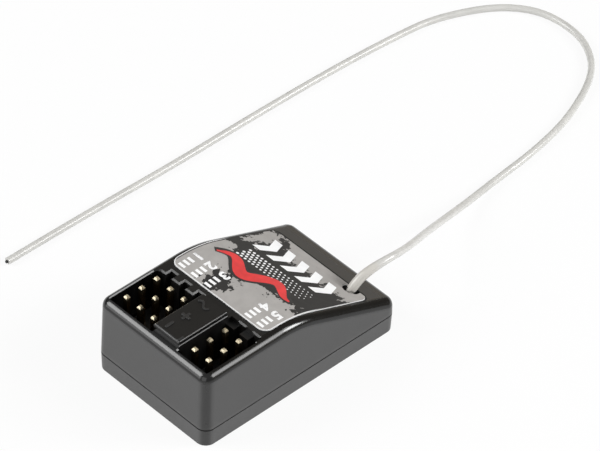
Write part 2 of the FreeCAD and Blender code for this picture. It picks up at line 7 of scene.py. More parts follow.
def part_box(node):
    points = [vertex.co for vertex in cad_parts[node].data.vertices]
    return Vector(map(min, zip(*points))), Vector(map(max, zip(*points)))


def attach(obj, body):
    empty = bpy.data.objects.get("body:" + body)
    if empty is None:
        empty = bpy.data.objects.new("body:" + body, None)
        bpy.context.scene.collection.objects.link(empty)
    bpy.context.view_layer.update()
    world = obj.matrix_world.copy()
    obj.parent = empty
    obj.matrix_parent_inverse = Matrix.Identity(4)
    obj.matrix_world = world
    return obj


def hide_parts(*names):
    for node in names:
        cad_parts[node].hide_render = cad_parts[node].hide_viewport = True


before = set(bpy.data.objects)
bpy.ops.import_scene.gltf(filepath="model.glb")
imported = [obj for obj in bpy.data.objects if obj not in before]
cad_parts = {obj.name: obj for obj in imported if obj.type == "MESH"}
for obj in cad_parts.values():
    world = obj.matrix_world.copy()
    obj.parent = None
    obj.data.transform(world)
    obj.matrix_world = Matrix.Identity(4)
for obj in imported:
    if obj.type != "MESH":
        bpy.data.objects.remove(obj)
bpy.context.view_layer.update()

mm = 0.001
print("frame loaded")


# camera: a long lens from the port end's right, as the photo was taken
camera = {"lens": 300.0, "sensor": 36.0, "place": (-0.31958, -0.33211, 0.44484),
          "target": (0.02073, 0.01211, 0.0), "roll": 2.053}

cameraData = bpy.data.cameras.new("camera")
cameraData.lens = camera["lens"]
cameraData.sensor_width = camera["sensor"]
cameraData.sensor_fit = "HORIZONTAL"
cameraObject = bpy.data.objects.new("camera", cameraData)
bpy.context.collection.objects.link(cameraObject)
look = Vector(camera["target"]) - Vector(camera["place"])
turn = look.to_track_quat("-Z", "Y") @ Quaternion((0, 0, 1), math.radians(camera["roll"]))
cameraObject.location = camera["place"]
cameraObject.rotation_euler = turn.to_euler()
bpy.context.scene.camera = cameraObject
print("camera set")


# small helpers for node trees
def addNode(tree, kind, values=None, **settings):
    node = tree.nodes.new(kind)
    for name, value in settings.items():
        setattr(node, name, value)
    for name, value in (values or {}).items():
        if isinstance(value, bpy.types.NodeSocket):
            tree.links.new(value, node.inputs[name])
        else:
            node.inputs[name].default_value = value
    return node


def addMath(tree, operation, a, b=0.0):
    return addNode(tree, "ShaderNodeMath", {0: a, 1: b}, operation=operation).outputs[0]


def addProduct(tree, a, b):
    return addMath(tree, "MULTIPLY", a, b)


def raiseTo(tree, value, share, level):
    # the value, raised to a level where the share is one
    return addMath(tree, "MAXIMUM", value, addProduct(tree, share, level))


def addVector(tree, operation, a, b=(0.0, 0.0, 0.0), output=0):
    return addNode(tree, "ShaderNodeVectorMath", {0: a, 1: b}, operation=operation).outputs[output]


def addScaled(tree, vector, scale):
    return addNode(tree, "ShaderNodeVectorMath", {0: vector, "Scale": scale}, operation="SCALE").outputs[0]


def splitAxes(tree, vector):
    return addNode(tree, "ShaderNodeSeparateXYZ", {0: vector}).outputs


def addRange(tree, value, low, high, outLow=0.0, outHigh=1.0):
    values = {"Value": value, "From Min": low, "From Max": high, "To Min": outLow, "To Max": outHigh}
    return addNode(tree, "ShaderNodeMapRange", values, interpolation_type="SMOOTHSTEP").outputs[0]


def addFall(tree, value, low, high):
    # one below the range, nought above it
    return addRange(tree, value, low, high, 1.0, 0.0)


def addMix(tree, factor, a, b):
    return addNode(tree, "ShaderNodeMix", {0: factor, 6: a, 7: b}, data_type="RGBA").outputs[2]


def addNoise(tree, place, size, detail, roughness):
    values = {"Vector": place, "Scale": size, "Detail": detail, "Roughness": roughness}
    return addNode(tree, "ShaderNodeTexNoise", values).outputs["Fac"]


def objectPlace(tree):
    return addNode(tree, "ShaderNodeTexCoord").outputs["Object"]


def millimetres(tree):
    # the place on the piece in millimetres
    return addScaled(tree, objectPlace(tree), 1000.0)


def facing(tree):
    # how far the surface faces each axis
    return splitAxes(tree, addNode(tree, "ShaderNodeNewGeometry").outputs["Normal"])


def grey(level, warm=0.0):
    return (level * (1 + warm), level, level * (1 - warm), 1.0)


def newMaterial(name):
    material = bpy.data.materials.new(name)
    material.use_nodes = True
    return material, material.node_tree, material.node_tree.nodes["Principled BSDF"]


# effects that several materials share: a fine grain, and a tone that drifts over the surface
grainNoise = {"detail": 3.0, "roughness": 0.6}
driftNoise = {"detail": 4.0, "roughness": 0.55}
driftSpread = (0.3, 0.7)


def makeGroup(name, inputs, outputs):
    group = bpy.data.node_groups.new(name, "ShaderNodeTree")
    for socket, kind, value in inputs:
        made = group.interface.new_socket(socket, in_out="INPUT", socket_type=kind)
        made.default_value = value
    for socket, kind in outputs:
        group.interface.new_socket(socket, in_out="OUTPUT", socket_type=kind)
    return group, group.nodes.new("NodeGroupInput"), group.nodes.new("NodeGroupOutput")


def makeGrainGroup():
    inputs = [("Size", "NodeSocketFloat", 4000.0), ("Height", "NodeSocketFloat", 0.00001)]
    group, start, end = makeGroup("mouldedGrain", inputs, [("Normal", "NodeSocketVector")])
    noise = addNoise(group, objectPlace(group), start.outputs["Size"], **grainNoise)
    bump = addNode(group, "ShaderNodeBump", {"Height": noise, "Strength": 1.0,
                                             "Distance": start.outputs["Height"]})
    group.links.new(bump.outputs["Normal"], end.inputs["Normal"])
    return group


def makeDriftGroup():
    inputs = [("Color", "NodeSocketColor", grey(0.5)), ("Size", "NodeSocketFloat", 300.0),
              ("Amount", "NodeSocketFloat", 0.15), ("Roughness", "NodeSocketFloat", 0.4)]
    outputs = [("Color", "NodeSocketColor"), ("Roughness", "NodeSocketFloat")]
    group, start, end = makeGroup("unevenTone", inputs, outputs)
    noise = addNoise(group, objectPlace(group), start.outputs["Size"], **driftNoise)
    low = addMath(group, "SUBTRACT", 1.0, start.outputs["Amount"])
    high = addMath(group, "ADD", 1.0, start.outputs["Amount"])
    values = {"Value": noise, "From Min": driftSpread[0], "From Max": driftSpread[1],
              "To Min": low, "To Max": high}
    level = addNode(group, "ShaderNodeMapRange", values).outputs[0]
    group.links.new(addScaled(group, start.outputs["Color"], level), end.inputs["Color"])
    group.links.new(addProduct(group, start.outputs["Roughness"], level), end.inputs["Roughness"])
    return group


grainGroup = makeGrainGroup()
driftGroup = makeDriftGroup()


def addSurface(tree, shader, color, roughness, tone, grain):
    # tone is the drift's size and amount, grain is the grain's size and height
    toned = {"Color": color, "Roughness": roughness, "Size": tone[0], "Amount": tone[1]}
    drift = addNode(tree, "ShaderNodeGroup", toned, node_tree=driftGroup)
    bumps = addNode(tree, "ShaderNodeGroup", {"Size": grain[0], "Height": grain[1]}, node_tree=grainGroup)
    tree.links.new(drift.outputs["Color"], shader.inputs["Base Color"])
    tree.links.new(drift.outputs["Roughness"], shader.inputs["Roughness"])
    tree.links.new(bumps.outputs["Normal"], shader.inputs["Normal"])


# label's outline: its centre, and the half sizes of its middle inside the corner rounds, in millimetres
labelOutline = {"centre": (3.725, 0.0, 0.0), "middle": (7.875, 7.53, 1000.0)}


def fromLabelMiddle(tree, place):
    # distance out from the label's middle, at any height
    centred = addVector(tree, "SUBTRACT", place, labelOutline["centre"])
    corner = addVector(tree, "SUBTRACT", addVector(tree, "ABSOLUTE", centred), labelOutline["middle"])
    return addVector(tree, "LENGTH", addVector(tree, "MAXIMUM", corner), output=1)


# case: polished on top, in the wells and round the rim, finely textured and paler on its outer walls, with
# painted shade at the upright corners.
# Lengths are in millimetres. Side and rim are half sizes, and other pairs are the two ends of a change
caseFinish = {
    "polished": grey(0.003, 0.03), "polishedRoughness": 0.17, "polishedGrain": 0.0000009,
    "textured": grey(0.054), "texturedRoughness": 0.46, "texturedGrain": 0.000006,
    "tray": grey(0.065), "trayTop": (3.25, 3.35), "side": (15.9, 9.5), "sideSoft": 0.1,
    "wallFacing": (0.05, 0.34), "corner": (0.2, 0.46, 1.0, 0.4), "rim": (15.1, 8.75),
    "bevelFacing": (0.9, 0.97), "bevelRoughness": 0.42, "deckEnds": (-0.5, 0.5), "deckRoughness": 0.4,
    "seam": 2.75, "seamHalf": (0.07, 0.17), "behindLabel": (1.48, 1.6), "behindStarts": (10.5, 11.5),
    "lineRoughness": 0.95, "grainSize": 6500.0, "tone": (260.0, 0.1)}


def addBeyond(tree, x, y, halfX, halfY):
    # one outside a middle area of the case, nought inside it
    beyondX = addMath(tree, "SUBTRACT", addMath(tree, "ABSOLUTE", x), halfX)
    beyondY = addMath(tree, "SUBTRACT", addMath(tree, "ABSOLUTE", y), halfY)
    return addRange(tree, addMath(tree, "MAXIMUM", beyondX, beyondY), 0.0, caseFinish["sideSoft"])


def makeCaseMaterial():
    material, tree, shader = newMaterial("casePlastic")
    place = millimetres(tree)
    axes = splitAxes(tree, place)
    x, y, z = axes["X"], axes["Y"], axes["Z"]
    normal = facing(tree)
    # the walls and the tray are textured; towards the upright corners they take the polished colour and
    # roughness, a painted shade on the corners
    onTray = addFall(tree, z, *caseFinish["trayTop"])
    onWall = addProduct(tree, addBeyond(tree, x, y, *caseFinish["side"]),
                        addFall(tree, normal["Z"], *caseFinish["wallFacing"]))
    cornerShade = addMath(tree, "ABSOLUTE", addProduct(tree, normal["X"], normal["Y"]))
    textured = addProduct(tree, addMath(tree, "MAXIMUM", onTray, onWall),
                          addRange(tree, cornerShade, *caseFinish["corner"]))
    # the seam is a dark line
    fromSeam = addMath(tree, "ABSOLUTE", addMath(tree, "SUBTRACT", z, caseFinish["seam"]))
    seamLine = addFall(tree, fromSeam, *caseFinish["seamHalf"])
    wallColor = addMix(tree, onTray, caseFinish["textured"], caseFinish["tray"])
    color = addMix(tree, textured, caseFinish["polished"], wallColor)
    color = addMix(tree, seamLine, color, caseFinish["polished"])
    # the small bevels, the deck with its bar, the seam and a line behind the label are dull
    inner = addMath(tree, "SUBTRACT", 1.0, addBeyond(tree, x, y, *caseFinish["rim"]))
    bevelled = addProduct(tree, inner, addFall(tree, normal["Z"], *caseFinish["bevelFacing"]))
    onDeck = addProduct(tree, inner, addFall(tree, x, *caseFinish["deckEnds"]))
    behind = addProduct(tree, addFall(tree, fromLabelMiddle(tree, place), *caseFinish["behindLabel"]),
                        addRange(tree, x, *caseFinish["behindStarts"]))
    rough = addRange(tree, textured, 0.0, 1.0, caseFinish["polishedRoughness"],
                     caseFinish["texturedRoughness"])
    rough = raiseTo(tree, rough, bevelled, caseFinish["bevelRoughness"])
    rough = raiseTo(tree, rough, onDeck, caseFinish["deckRoughness"])
    rough = raiseTo(tree, rough, seamLine, caseFinish["lineRoughness"])
    rough = raiseTo(tree, rough, behind, caseFinish["lineRoughness"])
    height = addRange(tree, textured, 0.0, 1.0, caseFinish["polishedGrain"], caseFinish["texturedGrain"])
    addSurface(tree, shader, color, rough, caseFinish["tone"], (caseFinish["grainSize"], height))
    return material


# label film: pale grey, darker at the aerial end, with a torn dark band, a paler border and cut edge, and a
# painted shadow line at its rear end. Lengths are in millimetres. Patch and blob are ellipses: middle and
# half sizes
labelFinish = {
    "pale": grey(0.362, 0.045), "rearPale": grey(0.345, 0.05), "rearStarts": (6.0, 10.0),
    "dark": grey(0.017, 0.06), "front": (0.5, 4.4), "frontTurn": (3.0, 8.4), "rear": (9.2, 13.2),
    "rearTurn": (0.5, 8.8), "patch": (-3.1, 2.2, 2.9, 1.8), "blob": (9.6, 7.3, 2.5, 1.3),
    "farLine": (8.5, 8.6), "soft": (-0.06, 0.06),
    "tear": {"size": 0.5, "detail": 5.0, "roughness": 0.62}, "tearSwing": 7.2,
    "speck": {"size": 1.7, "detail": 2.0, "roughness": 0.5}, "speckSwing": 3.0,
    "edge": grey(0.8), "edgeFacing": (0.6, 0.7), "border": (1.15, 1.21), "borderEnds": (2.0, 5.0),
    "line": grey(0.002), "rearShadowLine": (12.64, 12.7), "lineRoughness": 0.95, "roughness": 0.7,
    "tone": (700.0, 0.07), "grain": (2600.0, 0.000004)}


def addSpot(tree, place, x, y, halfX, halfY):
    # how deep a point lies inside an ellipse, below nought outside it
    centred = addVector(tree, "SUBTRACT", place, (x, y, 0.0))
    scaled = addVector(tree, "MULTIPLY", centred, (1 / halfX, 1 / halfY, 0.0))
    share = addVector(tree, "LENGTH", scaled, output=1)
    return addProduct(tree, addMath(tree, "SUBTRACT", 1.0, share), halfY)


def addSway(tree, place, noise, swing):
    # a noise that sways both ways from nought
    return addProduct(tree, addMath(tree, "SUBTRACT", addNoise(tree, place, **noise), 0.5), swing)


def makeLabelMaterial():
    material, tree, shader = newMaterial("labelFilm")
    place = millimetres(tree)
    axes = splitAxes(tree, place)
    x, y = axes["X"], axes["Y"]
    # the dark band between two turning lines, with a patch more and a blob less, torn by noise
    front = addRange(tree, y, *labelFinish["frontTurn"], *labelFinish["front"])
    rear = addRange(tree, y, *labelFinish["rearTurn"], *labelFinish["rear"])
    depth = addMath(tree, "MINIMUM", addMath(tree, "SUBTRACT", x, front), addMath(tree, "SUBTRACT", rear, x))
    depth = addMath(tree, "MAXIMUM", depth, addSpot(tree, place, *labelFinish["patch"]))
    blob = addSpot(tree, place, *labelFinish["blob"])
    depth = addMath(tree, "MINIMUM", depth, addProduct(tree, blob, -1.0))
    tear = addSway(tree, place, labelFinish["tear"], labelFinish["tearSwing"])
    specks = addSway(tree, place, labelFinish["speck"], labelFinish["speckSwing"])
    torn = addMath(tree, "ADD", depth, addMath(tree, "ADD", tear, specks))
    inside = addRange(tree, torn, *labelFinish["soft"])
    inside = addMath(tree, "MAXIMUM", inside, addRange(tree, y, *labelFinish["farLine"]))
    rearward = addRange(tree, x, *labelFinish["rearStarts"])
    pale = addMix(tree, rearward, labelFinish["pale"], labelFinish["rearPale"])
    color = addMix(tree, inside, pale, labelFinish["dark"])
    border = addProduct(tree, addRange(tree, fromLabelMiddle(tree, place), *labelFinish["border"]),
                        addFall(tree, x, *labelFinish["borderEnds"]))
    color = addMix(tree, border, color, labelFinish["edge"])
    face = addRange(tree, facing(tree)["Z"], *labelFinish["edgeFacing"])
    color = addMix(tree, face, labelFinish["edge"], color)
    # a painted shadow along the film's rear edge, dark and dull
    line = addRange(tree, x, *labelFinish["rearShadowLine"])
    color = addMix(tree, line, color, labelFinish["line"])
    rough = addRange(tree, line, 0.0, 1.0, labelFinish["roughness"], labelFinish["lineRoughness"])
    addSurface(tree, shader, color, rough, labelFinish["tone"], labelFinish["grain"])
    return material


# pins: a painted highlight on the cut tips and their upward faces, and painted shade on the shafts further
# down in the wells. Heights are in millimetres
pinFinish = {"tip": (0.97, 0.88, 0.66, 1.0), "shadedShaft": (0.3, 0.19, 0.08, 1.0), "paintedTipLight": (11.0, 12.2),
             "level": (0.5, 0.95), "sideLitShare": 0.8, "roughness": 0.24, "tone": (1500.0, 0.14),
             "grain": (5000.0, 0.000003)}


def makePinMaterial():
    material, tree, shader = newMaterial("goldPin")
    height = splitAxes(tree, millimetres(tree))["Z"]
    # painted light rises towards the tips and is weaker on the side faces than on the upward ones; below it
    # the shafts take the painted shade
    paintedTipLight = addRange(tree, height, *pinFinish["paintedTipLight"])
    level = addRange(tree, facing(tree)["Z"], *pinFinish["level"], pinFinish["sideLitShare"], 1.0)
    color = addMix(tree, addProduct(tree, paintedTipLight, level), pinFinish["shadedShaft"], pinFinish["tip"])
    addSurface(tree, shader, color, pinFinish["roughness"], pinFinish["tone"], pinFinish["grain"])
    shader.inputs["Metallic"].default_value = 1.0
    return material


# aerial's clear sleeve over its core, a little darker where it leaves the hole. Lengths are in millimetres
sleeveFinish = {"sleeve": (0.575, 0.57, 0.545, 1.0), "bare": (0.56, 0.54, 0.5, 1.0), "bareEnds": (14.9, 16.1),
                "nearSide": (8.0, 9.0), "roughness": 0.3, "tone": (500.0, 0.06), "grain": (1800.0, 0.000012),
                "coat": 0.3, "coatRoughness": 0.12}


def makeSleeveMaterial():
    material, tree, shader = newMaterial("wireSleeve")
    axes = splitAxes(tree, millimetres(tree))
    atHole = addProduct(tree, addFall(tree, axes["X"], *sleeveFinish["bareEnds"]),
                        addFall(tree, axes["Y"], *sleeveFinish["nearSide"]))
    color = addMix(tree, atHole, sleeveFinish["sleeve"], sleeveFinish["bare"])
    addSurface(tree, shader, color, sleeveFinish["roughness"], sleeveFinish["tone"], sleeveFinish["grain"])
    shader.inputs["Coat Weight"].default_value = sleeveFinish["coat"]
    shader.inputs["Coat Roughness"].default_value = sleeveFinish["coatRoughness"]
    return material


# plain finishes: one colour with its own uneven tone, over the same fine grain
plainGrain = (5000.0, 0.000004)


def plainFinish(name, color, roughness, metallic=0.0, toneSize=400.0, tone=0.12):
    material, tree, shader = newMaterial(name)
    addSurface(tree, shader, color, roughness, (toneSize, tone), plainGrain)
    shader.inputs["Metallic"].default_value = metallic
    return material


casePlastic = makeCaseMaterial()
labelFilm = makeLabelMaterial()
goldPin = makePinMaterial()
wireSleeve = makeSleeveMaterial()
whiteInk = plainFinish("whiteInk", grey(0.92), 0.7, tone=0.05)
# the marks' plastic is a lighter copy of the case's polished plastic, a painted highlight for their lit
# bevels
litMarkPlastic = plainFinish("litMarkPlastic", grey(0.018), 0.46, tone=0.08)
redInk = plainFinish("redInk", (0.7, 0.045, 0.045, 1.0), 0.7, tone=0.14, toneSize=900.0)
darkInk = plainFinish("darkInk", grey(0.02), 0.6, tone=0.2)
solderTin = plainFinish("solderTin", grey(0.62), 0.38, metallic=1.0, toneSize=1400.0, tone=0.2)
boardMask = plainFinish("boardMask", (0.012, 0.09, 0.03, 1.0), 0.32, toneSize=900.0, tone=0.25)
headerPlastic = plainFinish("headerPlastic", grey(0.012), 0.5, toneSize=1200.0, tone=0.2)
chipResin = plainFinish("chipResin", grey(0.018), 0.55, toneSize=1800.0, tone=0.2)
canMetal = plainFinish("canMetal", grey(0.72), 0.3, metallic=1.0, toneSize=1200.0, tone=0.1)
ferrite = plainFinish("ferrite", grey(0.06, 0.06), 0.62, toneSize=2000.0, tone=0.25)
ceramic = plainFinish("ceramic", (0.42, 0.29, 0.16, 1.0), 0.5, toneSize=2000.0, tone=0.2)
clearResin = plainFinish("clearResin", grey(0.68, 0.04), 0.15, toneSize=900.0, tone=0.08)
print("materials made")


# finish of each node
nodeFinish = {
    "top_shell": casePlastic, "bottom_shell": casePlastic, "label": labelFilm, "circuit_board": boardMask,
    "header_base_left": headerPlastic, "header_base_right": headerPlastic, "pin_solder": solderTin,
    "main_chip": chipResin, "radio_chip": chipResin, "gyro_sensor": chipResin, "crystal": canMetal,
    "voltage_regulator": chipResin, "smoothing_capacitor": canMetal, "filter_inductor": ferrite,
    "status_led": clearResin, "ceramic_capacitors": ceramic, "resistors": chipResin,
    "aerial_solder": solderTin, "aerial_lead": wireSleeve, "aerial_wire": wireSleeve}
for number in range(1, 6):
    nodeFinish["port_%d_pins" % number] = goldPin

for name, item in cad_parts.items():
    item.data.materials.clear()
    item.data.materials.append(nodeFinish[name])
print("nodes finished")


# pieces are built in a bmesh, given a finish, and ride on the one body
def makePiece(name, mesh, material):
    data = bpy.data.meshes.new(name)
    mesh.to_mesh(data)
    mesh.free()
    data.materials.append(material)
    piece = bpy.data.objects.new(name, data)
    bpy.context.collection.objects.link(piece)
    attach(piece, "root")
    return piece


def addCell(mesh, matrix):
    made = bmesh.ops.create_grid(mesh, x_segments=1, y_segments=1, size=0.5)["verts"]
    bmesh.ops.transform(mesh, matrix=matrix, verts=made)


def addBar(mesh, length, width, place, turn=0.0):
    size = Matrix.Diagonal((length, width, 1, 1))
    addCell(mesh, Matrix.Translation(place) @ Matrix.Rotation(turn, 4, "Z") @ size)


def raiseFaces(mesh, height):
    # flat faces become a closed shape of this height
    raised = bmesh.ops.extrude_face_region(mesh, geom=mesh.faces[:])
    risen = [item for item in raised["geom"] if isinstance(item, bmesh.types.BMVert)]
    bmesh.ops.translate(mesh, verts=risen, vec=(0, 0, height))
    bmesh.ops.recalc_face_normals(mesh, faces=mesh.faces[:])


# roof line over the label: level deck, round ridge, straight slope, in millimetres as the case is drawn
roof = {"deckTop": 11.95, "endTop": 4.8, "endX": 16.7, "ridgeX": -0.5, "ridgeRadius": 16.0,
        "filmRadius": 16.17, "filmTop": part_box("label")[1][2] / mm}
roof["slope"] = math.atan2(roof["deckTop"] - roof["endTop"], roof["endX"] - roof["ridgeX"])
roof["arcStart"] = roof["ridgeX"] - roof["ridgeRadius"] * math.tan(roof["slope"] / 2)


def onRoof(place):
    # x runs along the surface, y across it, and z is the height over the film
    along = place.x - roof["arcStart"]
    radius, slope = roof["filmRadius"] + place.z, roof["slope"]
    turn = min(max(along / roof["filmRadius"], 0.0), slope)
    x = roof["arcStart"] + min(along, 0.0) + radius * math.sin(turn)
    z = roof["filmTop"] - roof["filmRadius"] + radius * math.cos(turn)
    beyond = max(along - roof["filmRadius"] * slope, 0.0)
    return Vector((x + beyond * math.cos(slope), place.y, z - beyond * math.sin(slope))) * mm


# ink on the film, each colour's top at its own lift, in millimetres. The cuts let the print bend
ink = {"thickness": 0.03, "whiteLift": 0.026, "redLift": 0.022, "dotLift": 0.018, "darkLift": 0.014,
       "cuts": 14, "firstCut": -4.0, "cutStep": 0.55, "merge": 0.0005}


def printOnLabel(name, mesh, material, lift):
    # cut the flat print where the ridge bends, give it a thickness and wrap it on the film
    for step in range(ink["cuts"]):
        everything = mesh.verts[:] + mesh.edges[:] + mesh.faces[:]
        cut = (ink["firstCut"] + ink["cutStep"] * step, 0, 0)
        bmesh.ops.bisect_plane(mesh, geom=everything, plane_co=cut, plane_no=(1, 0, 0))
    bmesh.ops.triangulate(mesh, faces=[face for face in mesh.faces if len(face.verts) > 4])
    raiseFaces(mesh, ink["thickness"])
    bmesh.ops.translate(mesh, verts=mesh.verts[:], vec=(0, 0, lift - ink["thickness"]))
    for vertex in mesh.verts:
        vertex.co = onRoof(vertex.co)
    makePiece(name, mesh, material)


# white chevrons in a row across the dark band
chevrons = {"count": 5, "pitch": 2.62, "first": 5.25, "along": 9.25, "drift": 0.03, "arm": 2.2, "width": 1.4,
            "lean": 0.48, "shrink": 0.02}


def makeChevrons():
    mesh = bmesh.new()
    for index in range(chevrons["count"]):
        y = chevrons["first"] - index * chevrons["pitch"]
        arm = chevrons["arm"] * (1.0 - chevrons["shrink"] * index)
        for side in (-1, 1):
            place = (chevrons["along"] + chevrons["drift"] * y + side * arm / 2, y, 0)
            shape = Matrix.Diagonal((arm, chevrons["width"], 1, 1))
            shape[1][0] = side * chevrons["lean"] * arm
            addCell(mesh, Matrix.Translation(place) @ shape)
    bmesh.ops.remove_doubles(mesh, verts=mesh.verts[:], dist=ink["merge"])
    printOnLabel("labelChevrons", mesh, whiteInk, ink["whiteLift"])


# red wave over a dark shadow that stands out round it, across the label
wave = {"start": (0.9, 6.9), "end": (2.2, -6.0), "swing": 1.35, "turns": 1.75, "width": 1.9, "taper": 0.6,
        "tip": 0.02, "swingShares": (0.55, 0.45), "steps": 56, "outline": 0.36}


def makeWave(name, grow, material, lift):
    mesh = bmesh.new()
    start, end = Vector(wave["start"]), Vector(wave["end"])
    run = end - start
    side = Vector((-run.y, run.x)).normalized()
    least, more = wave["swingShares"]
    for vertex in bmesh.ops.create_grid(mesh, x_segments=wave["steps"], y_segments=1, size=0.5)["verts"]:
        t = vertex.co.x + 0.5
        edge = vertex.co.y * 2
        phase = 2 * math.pi * wave["turns"] * t
        body = math.sin(math.pi * min(max(t, wave["tip"]), 1 - wave["tip"])) ** wave["taper"]
        centre = start + run * t + side * wave["swing"] * math.sin(phase) * (least + more * body)
        slope = side * wave["swing"] * 2 * math.pi * wave["turns"] * math.cos(phase) + run
        across = Vector((-slope.y, slope.x)).normalized()
        half = wave["width"] / 2 * body + grow
        vertex.co = (*(centre + across * edge * half + run.normalized() * (t - 0.5) * 2 * grow), 0)
    printOnLabel(name, mesh, material, lift)


# rows of small white dots that shrink towards the band's near end
dots = {"rows": 5, "count": 17, "pitch": 0.7, "along": 3.4, "rowPitch": 0.62, "first": 5.4, "radius": 0.23,
        "drift": -0.02, "fade": 0.04, "segments": 8}


def makeDots():
    mesh = bmesh.new()
    for row in range(dots["rows"]):
        for index in range(dots["count"]):
            y = dots["first"] - (index + 0.5 * (row % 2)) * dots["pitch"]
            x = dots["along"] + row * dots["rowPitch"] + dots["drift"] * y
            bmesh.ops.create_circle(mesh, cap_ends=True, segments=dots["segments"],
                                    radius=dots["radius"] * (1.0 - dots["fade"] * index),
                                    matrix=Matrix.Translation((x, y, 0)))
    printOnLabel("labelDots", mesh, whiteInk, ink["dotLift"])


# port numbers, each with three short bars towards its port, one for each pin
numbers = {"size": 2.2, "bold": 0.09, "steps": 3, "pins": 3, "bar": (0.4, 1.15), "pitch": 0.76,
           "firstBar": -1.2, "along": -2.1, "places": {"1": 7.25, "2": 4.9, "3": 2.4, "4": -5.1, "5": -7.3}}


def addNumber(mesh, text, place):
    curve = bpy.data.curves.new("number" + text, "FONT")
    curve.body = text
    curve.size = numbers["size"]
    curve.align_x = "CENTER"
    curve.align_y = "CENTER"
    curve.resolution_u = numbers["steps"]
    curve.offset = numbers["bold"]
    letter = bpy.data.objects.new("number" + text, curve)
    flat = bpy.data.meshes.new_from_object(letter)
    flat.transform(Matrix.Translation(place) @ Matrix.Rotation(math.pi, 4, "Z"))
    mesh.from_mesh(flat)
    bpy.data.meshes.remove(flat)
    bpy.data.objects.remove(letter)
    bpy.data.curves.remove(curve)


def makeNumbers():
    mesh = bmesh.new()
    for text, y in numbers["places"].items():
        addNumber(mesh, text, (numbers["along"], y, 0))
        for pin in range(numbers["pins"]):
            x = numbers["along"] + numbers["firstBar"] - pin * numbers["pitch"]
            addBar(mesh, *numbers["bar"], (x, y, 0))
    bmesh.ops.remove_doubles(mesh, verts=mesh.verts[:], dist=ink["merge"])
    printOnLabel("portNumbers", mesh, whiteInk, ink["whiteLift"])


makeChevrons()
makeWave("labelWaveShadow", wave["outline"], darkInk, ink["darkLift"])
makeWave("labelWave", 0.0, redInk, ink["redLift"])
makeDots()
makeNumbers()
print("label printed")


# moulded polarity marks on the raised bar, in millimetres: minus, plus, a wave and the gate's short bar
marks = {"height": 0.14, "sink": 0.05, "bevel": 0.13, "bevelSegments": 2, "merge": 0.001,
         "width": 0.42, "minus": (-13.88, -0.38, 1.44), "minusTurn": 2, "plus": (-11.36, -0.67, 1.45),
         "wave": (-8.35, -0.62, 2.1), "waveSwing": 0.38, "waveWidth": 0.32, "waveSteps": 24,
         "gate": (-14.6, -3.2, 1.0, 0.3)}


def addPlus(mesh, x, y, length, width):
    arm = (length - width) / 2
    addBar(mesh, width, width, (x, y, 0))
    for side in (-1, 1):
        reach = side * (width + arm) / 2
        addBar(mesh, arm, width, (x + reach, y, 0))
        addBar(mesh, width, arm, (x, y + reach, 0))
    bmesh.ops.remove_doubles(mesh, verts=mesh.verts[:], dist=marks["merge"])


def addRipple(mesh, x, y, length, width):
    # a strip that runs across the bar and swings once each way
    swing = marks["waveSwing"]
    for vertex in bmesh.ops.create_grid(mesh, x_segments=marks["waveSteps"], y_segments=1, size=0.5)["verts"]:
        t = vertex.co.x
        steep = 2 * math.pi * swing / length * math.cos(2 * math.pi * t)
        out = Vector((1, -steep)).normalized() * (width / 2 if vertex.co.y > 0 else -width / 2)
        vertex.co = (x + swing * math.sin(2 * math.pi * t) + out.x, y + t * length + out.y, 0)


def makeMarks():
    mesh = bmesh.new()
    width = marks["width"]
    x, y, length = marks["minus"]
    addBar(mesh, length, width, (x, y, 0), math.radians(marks["minusTurn"]))
    addPlus(mesh, *marks["plus"], width)
    addRipple(mesh, *marks["wave"], marks["waveWidth"])
    x, y, length, slim = marks["gate"]
    addBar(mesh, length, slim, (x, y, 0))
    raiseFaces(mesh, marks["height"] + marks["sink"])
    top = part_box("top_shell")[1][2] / mm - marks["sink"]
    bmesh.ops.translate(mesh, verts=mesh.verts[:], vec=(0, 0, top))
    bmesh.ops.scale(mesh, verts=mesh.verts[:], vec=(mm, mm, mm))
    # the marks' lighter plastic is a painted highlight
    bevel = makePiece("polarityMarks", mesh, litMarkPlastic).modifiers.new("bevel", "BEVEL")
    bevel.width = marks["bevel"] * mm
    bevel.segments = marks["bevelSegments"]
    bevel.limit_method = "ANGLE"


makeMarks()
print("polarity marks raised")


# aerial: one smooth curve over the route's points, in millimetres, as thick as the wire and thicker at its
# start. The wire's own measures are in metres
aerial = {
    "diameter": 0.001, "length": 0.1701, "bevelSteps": 8, "curveSteps": 12,
    "exitShare": (1.34, 1.34, 1.26, 1.1),
    "core": 0.00042, "coreOut": 0.0003, "coreSides": 16, "coreBevel": 0.12,
    "route": [
        (12.16, -6.34, 6.91), (13.18, -6.52, 8.16), (14.8, -7.0, 9.16), (17.0, -7.4, 9.7), (20.0, -7.2, 9.2),
        (23.7, -6.0, 7.8), (28.0, -4.1, 5.7), (33.0, -2.1, 3.3), (38.8, -0.4, 1.4), (45.8, 0.9, 0.52),
        (54.2, 1.6, 0.52), (62.4, 3.3, 0.52), (71.0, 7.2, 0.52), (74.7, 11.8, 0.52), (75.8, 16.6, 0.52),
        (74.9, 22.1, 0.52), (70.8, 26.6, 0.52), (63.2, 30.0, 0.52), (57.0, 30.8, 0.52), (46.0, 31.5, 0.52),
        (31.4, 31.7, 0.52), (15.6, 31.6, 0.52), (0.2, 32.0, 0.52), (-12.8, 32.0, 0.52)]}


